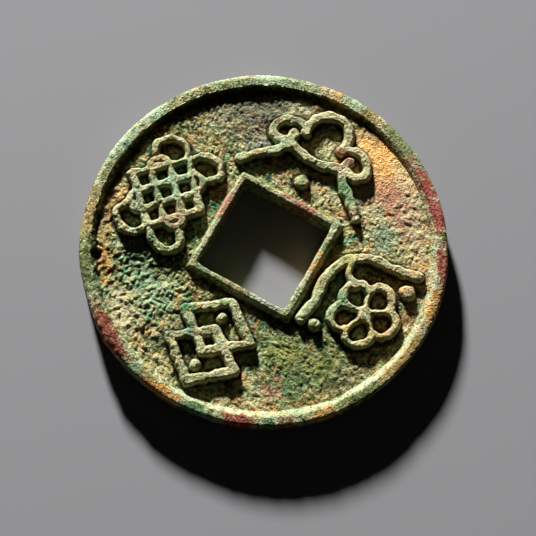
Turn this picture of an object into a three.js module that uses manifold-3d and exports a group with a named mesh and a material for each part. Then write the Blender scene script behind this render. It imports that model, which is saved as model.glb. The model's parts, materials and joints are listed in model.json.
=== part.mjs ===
// A cast bronze cash coin: a round plate with a square hole, a raised rim round its edge, a raised
// rim round the hole, and four raised ornaments on the obverse. The reverse has the two rims only.
// Millimetres. The coin lies on its reverse: the origin is at its centre on the reverse rim faces,
// +Z points out of the obverse and +Y points to the ornament at the top.
import * as THREE from 'three';
import { mergeVertices } from 'three/addons/utils/BufferGeometryUtils.js';
import Module from 'manifold-3d';

const wasm = await Module();
wasm.setup();

// Driving dimensions of the plate and its rims
const coinDiameter = 46;
const fieldThickness = 1.6;
const obverseRise = 1.1; // height of both rims above the obverse field
const reverseRise = 0.7; // height of both rims above the reverse field
const roundRimWidth = 2.2; // at its foot on the field
const roundRimSlope = 0.55; // width of its slope from crest to field
const roundRimEdge = 0.4; // radius of the rounded outer edges
const holeSide = 12.2;
const squareRimWidth = 1.35; // at its foot on the field
const squareRimSlope = 0.25;
const holeEdge = 0.12; // chamfer where the rim's crest meets the hole wall

// Driving dimensions of the ornaments
const ornamentRise = 1.0; // height above the obverse field
const rimGap = 0.35; // clear field between an ornament and either rim
const strokeWidth = 1.15;
const fineStrokeWidth = 0.9;
const petalLineWidth = 0.6;
const sketchColumn = 1.0; // width of one column of the ornament sketches
const sketchRows = 12; // rows of the sketches, from the square rim to the round rim

// Fineness of the round shapes
const roundRimSteps = 96;
const edgeSteps = 3;
const capSteps = 4;
const turnSteps = 22; // steps in a full turn of a curved stroke
const sweepSteps = 5; // steps from one point of a swept stroke to the next
const mitreLimit = 0.5; // least cosine of half a bend that a mitred corner follows

// Heights and reaches that follow from the dimensions above
const reverseField = reverseRise;
const obverseField = reverseRise + fieldThickness;
const crest = obverseField + obverseRise;
const coinRadius = coinDiameter / 2;
const roundRimFoot = coinRadius - roundRimWidth;
const holeReach = holeSide / 2;
const squareRimFoot = holeReach + squareRimWidth;
const sketchFoot = squareRimFoot + rimGap + strokeWidth / 2;
const sketchTop = roundRimFoot - rimGap - strokeWidth / 2;
const middleRow = sketchRows / 2;

// Patinated bronze, a shade for each region
const patina = (color, roughness) => new THREE.MeshStandardMaterial({ color, roughness, metalness: 0.35 });
const fieldPatina = patina(0x5f6345, 0.85);
const roundRimPatina = patina(0x8a8454, 0.75);
const squareRimPatina = patina(0xa09878, 0.75);
const ornamentPatina = patina(0x93a07c, 0.8);

const point = (x, y) => new THREE.Vector2(x, y);

// A ring turned about Z from a closed profile of (reach, height) points. With 4 steps it is a square
// frame whose sides lie at the reach; with many steps the corners lie on the circle of that radius.
function frameFrom(profile, steps) {
  const stretch = steps === 4 ? Math.SQRT2 : 1;
  const start = steps === 4 ? Math.PI / 4 : 0;
  const outline = profile.map(([reach, height]) => point(reach * stretch, height));
  outline.push(outline[0].clone());
  return new THREE.LatheGeometry(outline, steps, start).rotateX(Math.PI / 2);
}

// Quarter-round points from one height to another at the rounded outer edge
function roundedEdge(centreReach, centreHeight, fromAngle) {
  return Array.from({ length: edgeSteps + 1 }, (_, step) => {
    const angle = fromAngle + (step / edgeSteps) * (Math.PI / 2);
    return [centreReach + roundRimEdge * Math.cos(angle), centreHeight + roundRimEdge * Math.sin(angle)];
  });
}

function roundRim() {
  const edgeReach = coinRadius - roundRimEdge;
  return frameFrom([
    [roundRimFoot, reverseField],
    [roundRimFoot + roundRimSlope, 0],
    ...roundedEdge(edgeReach, roundRimEdge, -Math.PI / 2),
    ...roundedEdge(edgeReach, crest - roundRimEdge, 0),
    [roundRimFoot + roundRimSlope, crest],
    [roundRimFoot, obverseField],
  ], roundRimSteps);
}

function squareRim() {
  return frameFrom([
    [holeReach, holeEdge],
    [holeReach + holeEdge, 0],
    [squareRimFoot - squareRimSlope, 0],
    [squareRimFoot, reverseField],
    [squareRimFoot, obverseField],
    [squareRimFoot - squareRimSlope, crest],
    [holeReach + holeEdge, crest],
    [holeReach, crest - holeEdge],
  ], 4);
}

// The plate between the rims, with the outline of each rim's foot
function field() {
  const outline = new THREE.Shape(Array.from({ length: roundRimSteps }, (_, step) => {
    const angle = (step / roundRimSteps) * 2 * Math.PI;
    return point(roundRimFoot * Math.sin(angle), -roundRimFoot * Math.cos(angle));
  }));
  const corners = [[-1, -1], [-1, 1], [1, 1], [1, -1]];
  outline.holes.push(new THREE.Path(corners.map(([x, y]) => point(x * squareRimFoot, y * squareRimFoot))));
  return new THREE.ExtrudeGeometry(outline, { depth: fieldThickness, bevelEnabled: false })
    .translate(0, 0, reverseField);
}

// Where a sketch point lies on the field. Columns count sideways from the ornament's middle and
// rows outward from the square rim, and the rows spread to follow the round rim.
function onField(column, row) {
  const x = column * sketchColumn;
  const y = THREE.MathUtils.lerp(sketchFoot, Math.sqrt(sketchTop ** 2 - x ** 2), row / sketchRows);
  return point(x, y);
}

// A curve about a sketch point, whose radius grows from one value to another as it turns
function spiral([column, row], fromRadius, toRadius, fromDegrees, toDegrees) {
  const steps = Math.max(2, Math.round((Math.abs(toDegrees - fromDegrees) / 360) * turnSteps));
  return Array.from({ length: steps + 1 }, (_, step) => {
    const share = step / steps;
    const angle = THREE.MathUtils.degToRad(THREE.MathUtils.lerp(fromDegrees, toDegrees, share));
    const radius = THREE.MathUtils.lerp(fromRadius, toRadius, share);
    return [column + radius * Math.cos(angle), row + radius * Math.sin(angle)];
  });
}
const arc = (centre, radius, from, to) => spiral(centre, radius, radius, from, to);

// A smooth curve through a few sketch points
function sweep(...points) {
  const curve = new THREE.SplineCurve(points.map(([column, row]) => point(column, row)));
  return curve.getPoints((points.length - 1) * sweepSteps).map(({ x, y }) => [x, y]);
}

function raised(shape) {
  return new THREE.ExtrudeGeometry(shape, { depth: ornamentRise, bevelEnabled: false })
    .translate(0, 0, obverseField);
}

// A flat-topped ridge along a sketched line, with round ends, or closed on itself
function ridge(stroke, width = strokeWidth, closed = false) {
  const line = stroke.map(([column, row]) => onField(column, row));
  const count = line.length;
  const sides = line.map((here, index) => {
    const before = line[closed ? (index + count - 1) % count : Math.max(index - 1, 0)];
    const after = line[closed ? (index + 1) % count : Math.min(index + 1, count - 1)];
    const into = (before === here ? after.clone().sub(here) : here.clone().sub(before)).normalize();
    const out = (after === here ? here.clone().sub(before) : after.clone().sub(here)).normalize();
    const mitre = into.clone().add(out).normalize();
    const reach = width / 2 / Math.max(mitre.dot(out), mitreLimit);
    return point(-mitre.y, mitre.x).multiplyScalar(reach);
  });
  const left = line.map((here, index) => here.clone().add(sides[index]));
  const right = line.map((here, index) => here.clone().sub(sides[index]));
  if (closed) {
    const turnsLeft = THREE.ShapeUtils.area(line) > 0;
    const shape = new THREE.Shape(turnsLeft ? right : left);
    shape.holes.push(new THREE.Path(turnsLeft ? left : right));
    return raised(shape);
  }
  const cap = (centre, from) => Array.from({ length: capSteps - 1 }, (_, step) => from.clone()
    .multiplyScalar(-1).rotateAround(point(0, 0), ((step + 1) / capSteps) * Math.PI).add(centre));
  return raised(new THREE.Shape([
    ...right,
    ...cap(line[count - 1], sides[count - 1]),
    ...left.reverse(),
    ...cap(line[0], sides[0].clone().multiplyScalar(-1)),
  ]));
}

// A raised spot about a sketch point
function spot(centre, radius) {
  const outline = arc(centre, radius, 0, 360).slice(0, -1);
  return raised(new THREE.Shape(outline.map(([column, row]) => onField(column, row))));
}

function solid(geometry) {
  const bare = geometry.clone();
  bare.deleteAttribute('normal');
  bare.deleteAttribute('uv');
  const merged = mergeVertices(bare, 1e-5);
  return new wasm.Manifold(new wasm.Mesh({
    numProp: 3,
    vertProperties: new Float32Array(merged.attributes.position.array),
    triVerts: new Uint32Array(merged.index.array),
  }));
}

function joined(geometries) {
  const whole = geometries.map(solid).reduce((sum, next) => sum.add(next));
  const { vertProperties, triVerts } = whole.getMesh();
  const geometry = new THREE.BufferGeometry();
  geometry.setAttribute('position', new THREE.BufferAttribute(new Float32Array(vertProperties), 3));
  geometry.setIndex(new THREE.BufferAttribute(new Uint32Array(triVerts), 1));
  const faceted = geometry.toNonIndexed();
  faceted.computeVertexNormals();
  return faceted;
}

// Each ornament below returns its joined relief under one name and its loose spots under theirs

const bothSides = (stroke) => [stroke, stroke.map(([column, row]) => [-column, row])];

// Cloud: a crown between two scrolls, over two tails that run down past the hole's corners
function cloud() {
  const crown = arc([0, 8.75], 2.75, 200, -20);
  const neck = sweep([-3.6, 5.5], [0, 4.5], [3.6, 5.5]);
  const scrolls = bothSides(spiral([4.8, 6.75], 2.45, 0.85, 158, -205));
  const tails = bothSides(sweep([3.6, 5.5], [4.9, 3.7], [6.5, 2.3], [8.2, 0.3]));
  return {
    cloud_relief: joined([crown, neck, ...scrolls, ...tails].map((stroke) => ridge(stroke))),
    cloud_pearl: spot([0, 1.3], 0.9),
  };
}

// Endless knot: a slanted lattice of four cords each way, with a loop on each side and four ribbons
function knot() {
  const halfPitch = 1.2;
  const reach = 3 * halfPitch;
  const slanted = ([along, across]) => [
    (along - across) * Math.SQRT1_2,
    middleRow + (along + across) * Math.SQRT1_2,
  ];
  const turned = (stroke) => [stroke, stroke.map(([along, across]) => [across, along])];
  const cords = [-3, -1, 1, 3].map((place) => [[-reach, place * halfPitch], [reach, place * halfPitch]]);
  const loops = [arc([reach, 0], halfPitch, -90, 90), arc([-reach, 0], halfPitch, 90, 270)];
  const lattice = [...cords, ...loops].flatMap(turned).map((stroke) => stroke.map(slanted));
  const ribbon = (side) => sweep(...[[5, 0], [6.5, 1.6], [6.6, 3.8], [5.2, 5], [3.9, 4.2]]
    .map(([column, rise]) => [column, middleRow + side * rise]));
  const ribbons = [1, -1].flatMap((side) => bothSides(ribbon(side)));
  return {
    knot_relief: joined([...lattice, ...ribbons].map((stroke) => ridge(stroke, fineStrokeWidth))),
  };
}

// Double lozenge: two linked lozenges, with a pearl in the free half of each
function lozenges() {
  const halfWidth = 4.5;
  const halfHeight = 3.75;
  const linkOffset = 2.15; // from the ornament's middle row to the middle of each lozenge
  const pearlOffset = 3.5;
  const pearlRadius = 0.7;
  const lozenge = (row) => [
    [halfWidth, row],
    [0, row + halfHeight],
    [-halfWidth, row],
    [0, row - halfHeight],
  ];
  const pair = [middleRow - linkOffset, middleRow + linkOffset];
  return {
    lozenge_relief: joined(pair.map((row) => ridge(lozenge(row), strokeWidth, true))),
    lozenge_pearl_inner: spot([0, middleRow - pearlOffset], pearlRadius),
    lozenge_pearl_outer: spot([0, middleRow + pearlOffset], pearlRadius),
  };
}

// Plum branch: a bent branch with a twig, an open blossom of five petals and two loose buds
function plum() {
  const blossom = [1.7, 6.95];
  const from = (radius, degrees) => arc(blossom, radius, degrees, degrees)[0];
  const petals = [90, 162, 234, 306, 378]; // the way each petal points, in degrees
  const petal = (degrees) => arc(from(2.5, degrees), 1.75, degrees - 94, degrees + 94);
  const branch = sweep([-5.9, 11.6], [-5.2, 8.2], [-5, 4.6], [-3.4, 1.6], [-0.2, 0.3], [3, 0.5], [6, 0]);
  const twig = sweep([-4, 2.3], [-2, 2.6], [-0.9, 4.2]);
  return {
    plum_relief: joined([
      ridge(branch),
      ridge(twig, fineStrokeWidth),
      ...petals.map((degrees) => ridge(petal(degrees), fineStrokeWidth)),
      ...petals.map((degrees) => ridge([blossom, from(2.9, degrees + 36)], petalLineWidth)),
      spot(blossom, 0.95),
    ]),
    plum_bud_outer: spot([-3.3, 10.6], 0.9),
    plum_bud_inner: spot([6, 2.1], 0.8),
  };
}

const coin = new THREE.Group();
function add(name, geometry, material, turn = 0) {
  const mesh = new THREE.Mesh(geometry, material);
  mesh.name = name;
  mesh.rotation.z = turn;
  coin.add(mesh);
}

add('field', field(), fieldPatina);
add('outer_rim', roundRim(), roundRimPatina);
add('inner_rim', squareRim(), squareRimPatina);
[cloud, knot, lozenges, plum].forEach((ornament, place) => {
  for (const [name, relief] of Object.entries(ornament())) {
    add(name, relief, ornamentPatina, (place * Math.PI) / 2);
  }
});

export default coin;
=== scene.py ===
import json
import math

import bpy
import numpy as np
from mathutils import Matrix, Vector


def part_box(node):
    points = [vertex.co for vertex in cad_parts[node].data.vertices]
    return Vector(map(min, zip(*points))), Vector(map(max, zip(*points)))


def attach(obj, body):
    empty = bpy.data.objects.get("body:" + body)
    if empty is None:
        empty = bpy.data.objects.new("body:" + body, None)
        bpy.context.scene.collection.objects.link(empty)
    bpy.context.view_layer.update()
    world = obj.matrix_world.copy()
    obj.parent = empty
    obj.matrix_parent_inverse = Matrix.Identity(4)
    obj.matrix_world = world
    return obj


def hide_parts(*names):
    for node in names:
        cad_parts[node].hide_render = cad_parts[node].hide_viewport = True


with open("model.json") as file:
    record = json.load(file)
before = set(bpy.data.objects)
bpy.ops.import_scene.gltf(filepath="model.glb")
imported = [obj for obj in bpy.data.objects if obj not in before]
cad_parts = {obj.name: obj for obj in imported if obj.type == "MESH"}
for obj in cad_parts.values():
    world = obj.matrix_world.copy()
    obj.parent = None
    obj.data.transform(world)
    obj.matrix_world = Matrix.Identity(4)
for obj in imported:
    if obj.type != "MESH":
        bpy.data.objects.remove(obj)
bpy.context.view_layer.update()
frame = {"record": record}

# Plate of the coin, obverse face
# The real coin is one bronze casting. Its plate is sunk between the two rims and carries a rough
# mineral crust, from fine grains to crags, that came from centuries in the ground.

MM = 0.001
# Lengths are in millimetres down to the last section, where they are in metres. The plate's and the
# rims' places come from the CAD.
PLATE_LOW, PLATE_HIGH = (np.array(corner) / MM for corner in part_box("field"))
RIM_HIGH = np.array(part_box("outer_rim")[1]) / MM
COIN_RADIUS = RIM_HIGH[0]
CREST = RIM_HIGH[2]  # height of both rims' crests over the table
PLATE_RADIUS = PLATE_HIGH[0]
OBVERSE, REVERSE = PLATE_HIGH[2], PLATE_LOW[2]  # heights of the plate's two faces
SQUARE_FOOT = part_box("inner_rim")[1][0] / MM  # half the width of the square rim
PLATE_MIDDLE = (OBVERSE + REVERSE) / 2
UNDER_RIM = 0.25  # how far the plate runs on under each rim
SQUARE_POWER = 28  # power of the superellipse that rounds the square hole's corners

LATTICE = np.random.default_rng(41).random((48, 48, 48)).astype(np.float32)


def grain(points, size, shift=0.0):
    """Smooth noise from -1 to 1. Random values sit on a cubic lattice of the given size, and a point
    takes the mean of its cell's eight corners, weighted by the smoothstep of its place in the cell."""
    cell = points / size + shift
    base = np.floor(cell).astype(int)
    share = cell - base
    share = share * share * (3 - 2 * share)
    total = np.zeros(points.shape[:-1])
    for corner in np.ndindex(2, 2, 2):
        weight = np.prod(np.where(corner, share, 1 - share), axis=-1)
        total += weight * LATTICE[tuple(np.moveaxis((base + corner) % len(LATTICE), -1, 0))]
    return 2 * total - 1


def smooth_step(value, start, end):
    """0 up to start, 1 from end, and 3t^2 - 2t^3 between, with t the share of the way."""
    share = np.clip((value - start) / (end - start), 0, 1)
    return share * share * (3 - 2 * share)


def nearness(points, centre, radius):
    """exp(-(d / r)^2), with d the distance seen from above: 1 at the centre and 0 far from it."""
    return np.exp(-((points[..., 0] - centre[0]) ** 2 + (points[..., 1] - centre[1]) ** 2) / radius**2)


CRUST_BED = 0.06  # how thick the crust lies on the metal, before its lumps and crags
# Layers of noise, as height, size and shift: a slow swell, sharp lumps and fine grains
SWELL = ((0.05, 4.1, 0.0), (0.035, 1.9, 7.3))
LUMPS = ((0.10, 1.1, 3.1), (0.15, 0.55, 5.7))
GRAINS = (0.04, 0.3, 1.3)
LUMPS_SUNK = 0.06  # taken off the lumps, so that they hardly raise the crust as a whole
# Where the crust is craggy, as centre, radius and strength
CRAGS = (((-14.0, -9.5), 7.5, 0.9), ((-5.5, -16.5), 5.0, 0.6), ((-18.0, -4.0), 3.0, 0.3))
CRAG_ROUGHNESS = 0.7  # how much higher lumps and grains stand where the strength is 1
CRAG_DEPTH = 0.13
CRAG_GRAIN = (math.radians(29), 1.0, 0.68)  # direction, length and width of one crag
CRAG_BEND = (0.55, 1.9, 2.3)  # how crags wander, as noise
CRAG_NOISE = ((1.0, 1.0, 9.9), (0.5, 0.43, 4.9))  # noise along the crags
CRAG_EDGE = (0.05, 0.5)  # the values of that noise between which a crag falls away
POWDER = ((8.2, 17.0), 3.8, 0.6)  # where the crust is a powder, and how much finer it is
# The single blowholes on the obverse, as centre, radius and depth
BLOWHOLES = (((-17.6, -11.3), 0.62, 0.7), ((-7.2, -16.9), 0.8, 0.16), ((4.4, -17.4), 0.6, 0.15))


def layer(points, height, size, shift):
    """One layer of noise, from -height to height."""
    return height * grain(points, size, shift)


def crust(points):
    """Height of the mineral crust over the sound metal: its bed, plus noise at four sizes, whose two
    middle ones are folded at zero into lumps with sharp creases, less crags where stretched noise
    passes a threshold, less depth exp(-(d / r)^4) at each blowhole."""
    x, y = points[..., 0], points[..., 1]
    rough = 1.0
    for centre, radius, strength in CRAGS:
        rough = rough + CRAG_ROUGHNESS * strength * nearness(points, centre, radius)
    centre, radius, finer = POWDER
    rough = rough * (1 - finer * nearness(points, centre, radius))
    height = CRUST_BED + layer(points, *SWELL[0]) + layer(points, *SWELL[1])
    lumps = sum(np.abs(layer(points, *lump)) for lump in LUMPS) - LUMPS_SUNK
    height += rough * (lumps + layer(points, *GRAINS))
    turn, length, width = CRAG_GRAIN
    bend = layer(points, *CRAG_BEND)
    along = (x * math.cos(turn) + y * math.sin(turn) + bend) / length
    across = (y * math.cos(turn) - x * math.sin(turn) + bend) / width
    lie = np.stack([along, across, points[..., 2]], -1)
    crags = smooth_step(sum(layer(lie, *noise) for noise in CRAG_NOISE), *CRAG_EDGE)
    for centre, radius, strength in CRAGS:
        height -= CRAG_DEPTH * strength * crags * nearness(points, centre, radius)
    upper = points[..., 2] > PLATE_MIDDLE
    for (cx, cy), radius, depth in BLOWHOLES:
        height -= upper * depth * np.exp(-(((x - cx) ** 2 + (y - cy) ** 2) / radius**2) ** 2)
    return height


def square_path(angles):
    """Points of a superellipse of reach 1, |x|^p + |y|^p = 1, in the directions of the angles."""
    x, y = np.cos(angles), np.sin(angles)
    reach = (np.abs(x) ** SQUARE_POWER + np.abs(y) ** SQUARE_POWER) ** (-1 / SQUARE_POWER)
    return np.stack([x * reach, y * reach], -1)


def mark_points(mesh, label, values):
    """Puts one value on each point of a mesh, for its finish to read by the label."""
    values = values.ravel().astype(np.float32)
    mesh.attributes.new(label, "FLOAT", "POINT").data.foreach_set("value", values)


CRUST_UNIT = 0.1  # crust of this height counts as 1 in the finish


def new_piece(name, points, faces, height, slot, *nodes):
    """A piece of the coin from points in millimetres and quads, with two values on each point for its
    finish: how high it stands over the plate, as a share of the crest's, and how high the crust is."""
    mesh = bpy.data.meshes.new(name)
    mesh.from_pydata((points * MM).tolist(), [], faces.tolist())
    mark_points(mesh, "height", height)
    mark_points(mesh, "crust", crust(points) / CRUST_UNIT)
    mesh.shade_smooth()
    mesh.validate()
    piece = bpy.data.objects.new(name, mesh)
    bpy.context.scene.collection.objects.link(piece)
    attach(piece, "root")
    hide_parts(*nodes)
    return piece


def ring_piece(name, points, height, slot, *nodes):
    """A closed ring from a grid of points that wraps both ways: around the coin, then around the
    section, which runs clockwise when it is seen with the coin's middle on the left."""
    around, section = points.shape[:2]
    index = np.arange(around * section).reshape(around, section)
    along = np.roll(index, -1, axis=1)
    faces = np.stack([index, along, np.roll(along, -1, axis=0), np.roll(index, -1, axis=0)], -1)
    return new_piece(name, points.reshape(-1, 3), faces.reshape(-1, 4), height, slot, *nodes)


def plate_face(face, around, across, steps_down):
    """One face of the plate, as a closed ring: a grid from the square hole's path out to the circle,
    lifted by the crust, then down to the plate's middle and back."""
    angles = np.arange(around) / around * 2 * math.pi
    inner = square_path(angles)[:, None] * (SQUARE_FOOT - UNDER_RIM)
    outer = np.stack([np.cos(angles), np.sin(angles)], -1)[:, None] * (PLATE_RADIUS + UNDER_RIM)
    share = np.linspace(0, 1, across)[None, :, None]
    top = inner + (outer - inner) * share
    top = np.concatenate([top, np.full(top.shape[:2] + (1,), face)], -1)
    side = 1 if face > PLATE_MIDDLE else -1
    top[..., 2] += side * crust(top)
    back = np.linspace(1, 0, steps_down)[None, :, None]
    bottom = inner + (outer - inner) * back
    bottom = np.concatenate([bottom, np.full(bottom.shape[:2] + (1,), PLATE_MIDDLE)], -1)
    points = np.concatenate([top, bottom], 1)
    return points if side > 0 else points[::-1]  # turned the other way round, it faces down


class Socket:
    """One output of a material's node tree. Python operators on it add Math nodes, and node() adds
    any other node with its settings first and then its sockets' values or links."""

    def __init__(self, tree, out):
        self.tree = tree
        self.out = out

    def node(self, kind, settings=None, inputs=None, output=0):
        made = self.tree.nodes.new("ShaderNode" + kind)
        for name, value in (settings or {}).items():
            if name == "stops":
                ramp = made.color_ramp
                while len(ramp.elements) < len(value):
                    ramp.elements.new(1)
                for stop, (position, colour) in zip(ramp.elements, value):
                    stop.position = position
                    stop.color = (*colour, 1)
            else:
                setattr(made, name, value)
        for key, value in (inputs or {}).items():
            if isinstance(value, Socket):
                self.tree.links.new(value.out, made.inputs[key])
            else:
                made.inputs[key].default_value = value
        return Socket(self.tree, made.outputs[output])

    def maths(self, operation, *values):
        return self.node("Math", {"operation": operation}, dict(enumerate(values)))

    def __add__(self, other):
        return self.maths("ADD", self, other)

    def __sub__(self, other):
        return self.maths("SUBTRACT", self, other)

    def __rsub__(self, other):
        return self.maths("SUBTRACT", other, self)

    def __mul__(self, other):
        return self.maths("MULTIPLY", self, other)

    __radd__ = __add__
    __rmul__ = __mul__

    def vector(self, operation, inputs, output=0):
        return self.node("VectorMath", {"operation": operation}, inputs, output)

    def noise(self, scale, detail=2.0, roughness=0.5, distortion=0.0):
        values = {"Vector": self, "Scale": scale, "Detail": detail, "Roughness": roughness}
        return self.node("TexNoise", {}, {**values, "Distortion": distortion})

    def step(self, start, end, low=0.0, high=1.0):
        values = dict(enumerate((self, start, end, low, high)))
        return self.node("MapRange", {"interpolation_type": "SMOOTHSTEP"}, values)

    def mix(self, factor, colour, blend="MIX"):
        colour = colour if isinstance(colour, Socket) else (*colour, 1)
        settings = {"data_type": "RGBA", "blend_type": blend, "clamp_factor": True}
        return self.node("Mix", settings, {0: factor, 6: self, 7: colour}, output=2)


# Colours of the minerals on the bronze, as linear light
PIT = (0.015, 0.012, 0.007)
# painted shadow: a dark brown laid where shade falls, not a mineral of the coin
PAINTED_SHADOW_BROWN = (0.025, 0.018, 0.01)
UMBER = (0.062, 0.046, 0.02)
OLIVE = (0.141, 0.12, 0.046)
SAGE = (0.257, 0.249, 0.116)
CREAM = (0.515, 0.457, 0.257)
MINT = (0.307, 0.432, 0.249)
TEAL = (0.075, 0.216, 0.141)
EMERALD = (0.042, 0.174, 0.062)
MOSS = (0.091, 0.116, 0.023)
LIME = (0.241, 0.257, 0.042)
SILVER = (0.282, 0.307, 0.257)
CUPRITE = (0.249, 0.046, 0.027)
BROWN_RED = (0.207, 0.053, 0.022)
ORANGE = (0.548, 0.266, 0.058)
SAND = (0.73, 0.423, 0.141)
OCHRE = (0.315, 0.207, 0.05)
PINK = (0.365, 0.149, 0.091)

# Noises over the coin, as scale per millimetre, detail, roughness and distortion. They run from 0 to
# 1 with a mean of 0.5.
COARSE, MEDIUM, FINE = (0.3, 3.0, 0.6), (1.3, 4.0, 0.6, 0.4), (3.6, 2.5, 0.55)
DUST, SPARSE, WARP = (6.5, 2.0), (0.19, 2.0), (0.8, 4.0)
HUE_COARSE, HUE_MEDIUM, HUE_FINE = (0.28, 2.0), (1.1, 5.0, 0.68, 0.6), (4.2, 2.0)
FLECK_SHAPE = (3.0, 0.65, 0.3)  # a fleck's own detail, roughness and distortion
APART = (31.0, 17.0, 5.0)  # shift of the noises for the hue, away from those for the level

# Small flecks of other minerals, as shift of the noise, its scale, the value that it has to pass,
# colour, strength and how much they keep to the green ground, or below 0 to the earthy one
FLECKS = (
    (7.0, 0.9, 0.58, EMERALD, 0.75, 0.25),
    (19.0, 1.1, 0.60, TEAL, 0.75, 0.3),
    (43.0, 0.8, 0.59, ORANGE, 0.65, -0.25),
    (61.0, 0.6, 0.60, PINK, 0.5, -0.2),
    (83.0, 2.1, 0.59, (0.03, 0.24, 0.09), 0.65, 0.25),
    (97.0, 2.4, 0.61, (0.5, 0.2, 0.06), 0.5, -0.15),
)

# Wide regions of the coin, as centre, radius, how much greener than the rest and how much paler
REGIONS = (
    ((-12.0, -10.0), 7.0, 0.12, 0.035),
    ((-12.0, -15.3), 3.0, -0.06, 0.06),
    ((-20.0, -5.0), 3.2, -0.16, 0.08),
    ((-9.0, 16.8), 6.8, -0.03, -0.07),
    ((9.0, 16.0), 6.5, -0.16, 0.34),
    ((15.5, 6.5), 6.5, -0.08, 0.03),
    ((11.0, -11.5), 6.5, 0.16, -0.02),
    ((20.5, -0.5), 4.5, -0.12, 0.05),
    ((10.0, -20.0), 6.0, -0.05, 0.08),
    ((-11.2, 20.4), 5.0, 0.02, 0.13),
    ((18.8, 8.8), 3.2, -0.08, 0.12),
)
REGION_HEIGHT = 2.0  # a region's centre lies this high over the table

# Shares of the noises in the level and in the hue of a finish. Half their sum is taken off again.
LEVEL_COARSE, LEVEL_MEDIUM, LEVEL_FINE, LEVEL_MEAN = 0.6, 1.05, 1.0, 1.325
# the third share is how far the painted shade darkens the level
LEVEL_CRUST, LEVEL_HEIGHT, LEVEL_PAINTED_SHADE = 0.13, 0.07, 0.25
SHARE_COARSE, SHARE_MEDIUM, SHARE_FINE, HUE_MEAN = 0.55, 0.75, 0.4, 0.85
LEAN = (0.03, -0.03, 0.0)  # times a place, it grows from -1 to 1 towards the coin's lower right
SLOPE_LIGHT_LEAN = 0.1  # the lean where a slope's painted light turns into painted shade

SLOPE, FOOT_SHADE_HEIGHTS = (0.97, 0.6), (0.75, 0.2)  # heights where a slope, or painted shade at a foot, begins and is in full
GREEN = (0.42, 0.60)  # hues between which the green ramp takes over
SHADE = (0.2, 0.72, 0.2, 1.5)  # two levels, and how bright flecks and patches are at them
SHEEN = (0.3, 0.75, 0.92, 0.68)  # two levels, and the roughness at them
FLECK_EDGE, FLECK_SPARSE = 0.05, 0.25  # width of a fleck's edge, and the pull of the slow noise
PATCH_EDGE = (1.3, 0.55)  # shares of a patch's reach between which it fades in
PATCH_MEDIUM, PATCH_FINE, PATCH_SLOPE = 2.2, 2.0, 3  # what breaks its edge: noises, and a slope with painted light and shade
PATCH_DEPTH = 3.4  # how far a patch reaches up and down from its face
PATCH_WARP = (4.5, 4.5, 4.5)  # how far noise bends the place where patches are looked up
# Pale dust, dark pores and painted shade, as the noise where they begin and are in full, and their
# strength
PALE_DUST, DARK_PORES, PAINTED_SHADE_COVER = ((0.6, 0.7), 0.4), ((0.44, 0.35), 0.75), ((0.3, 0.95), 0.78)
PAINTED_SHADE_GRAIN = 0.9  # how strongly fine noise breaks up the painted shade
BUMP_MEDIUM, BUMP_FINE, BUMP_DUST = 0.5, 0.6, 0.3
BUMP = {"Strength": 0.9, "Distance": 0.4 * MM}
SPECULAR = 0.2


def with_flecks(colour, place, hue, shade, strongest):
    """Each mineral's flecks cover the colour where its noise, pulled by the hue and by one slow noise
    for them all, passes a threshold."""
    sparse = place.node("Mapping", {}, {0: place, 1: APART}).noise(*SPARSE)
    sparse = FLECK_SPARSE * (sparse - 0.5)
    for shift, scale, least, tint, strength, hue_pull in FLECKS:
        moved = place.node("Mapping", {}, {0: place, 1: (shift, -shift, shift)})
        tinted = place.vector("SCALE", {0: tint, 3: shade})
        fleck = moved.noise(scale, *FLECK_SHAPE) + hue_pull * (hue - 0.5) + sparse
        colour = colour.mix(fleck.step(least, least + FLECK_EDGE) * (strength * strongest), tinted)
    return colour


def with_patches(colour, place, patches, face, broken, shade):
    """Each patch covers the colour inside an ellipsoid that lies along the coin's edge. Noise bends
    the place where it is looked up, and breaks its outline."""
    scale, detail = WARP
    warp = place.node("TexNoise", {}, {"Vector": place, "Scale": scale, "Detail": detail}, output=1)
    warp = warp.vector("SUBTRACT", {0: warp, 1: (0.5, 0.5, 0.5)})
    bent = warp.vector("MULTIPLY_ADD", {0: warp, 1: PATCH_WARP, 2: place})
    for (x, y), (along, out), tint, strength in patches:
        turn = (0, 0, math.atan2(y, x))
        ellipsoid = {0: bent, 1: (x, y, face), 2: turn, 3: (out, along, PATCH_DEPTH)}
        spot = bent.node("Mapping", {"vector_type": "TEXTURE"}, ellipsoid)
        distance = spot.vector("LENGTH", {0: spot}, output=1)
        tinted = place.vector("SCALE", {0: tint, 3: shade})
        colour = colour.mix((distance + broken).step(*PATCH_EDGE) * strength, tinted)
    return colour


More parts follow.
